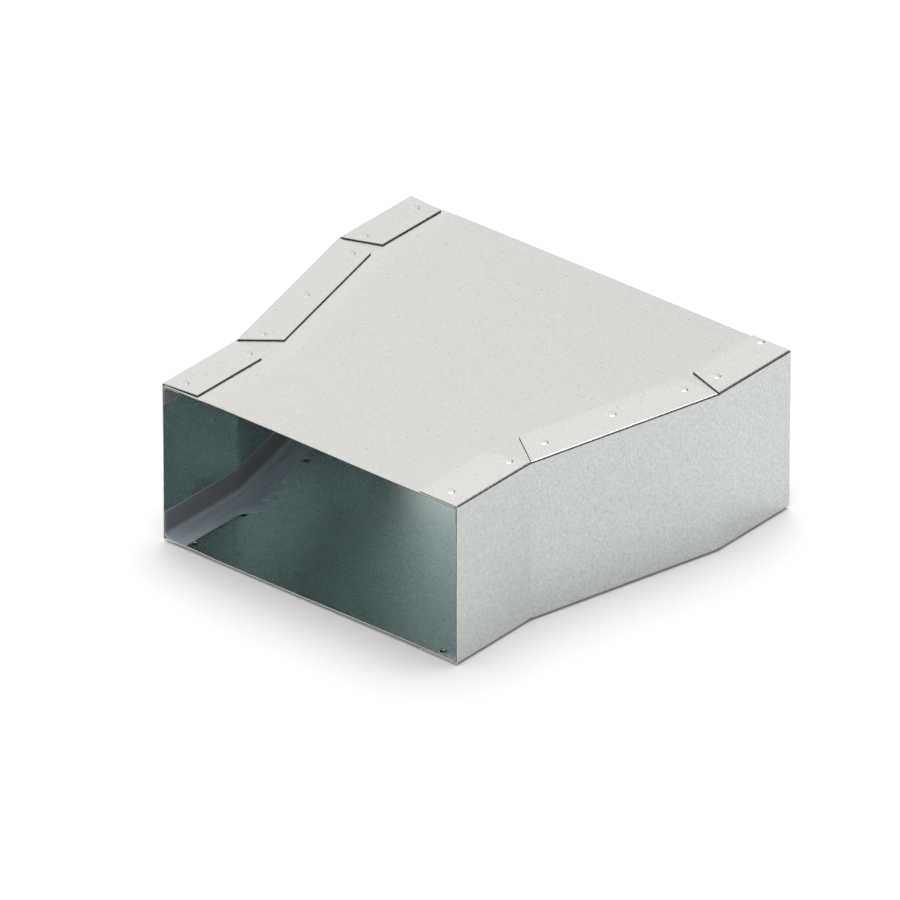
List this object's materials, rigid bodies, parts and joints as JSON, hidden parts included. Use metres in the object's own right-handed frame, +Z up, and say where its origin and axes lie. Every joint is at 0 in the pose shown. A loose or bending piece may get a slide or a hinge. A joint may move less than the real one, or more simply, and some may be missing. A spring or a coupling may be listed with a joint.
{
  "type": "rectangular duct reducer",
  "caption": "Rectangular sheet-metal duct reducer that widens evenly to both sides at one height, with notched flanges, round press joints and sealed inside corners.",
  "frame": {"origin": "under the middle of the body, at the level of the lowest press joints, which it stands on", "axes": "+X across the duct, +Y along it from the narrow mouth to the wide mouth, +Z up through its height"},
  "size_m": [0.22, 0.2, 0.082],
  "materials": {
    "galvanised_sheet": "satin zinc coat with a fine grain",
    "sealant": "matte, brushed on"
  },
  "bodies": {
    "root": {"top_panel": "galvanised_sheet", "bottom_panel": "galvanised_sheet", "left_side_panel": "galvanised_sheet", "right_side_panel": "galvanised_sheet", "sealant_upper_left": "sealant", "sealant_upper_right": "sealant", "sealant_lower_left": "sealant", "sealant_lower_right": "sealant"}
  },
  "joints": []
}
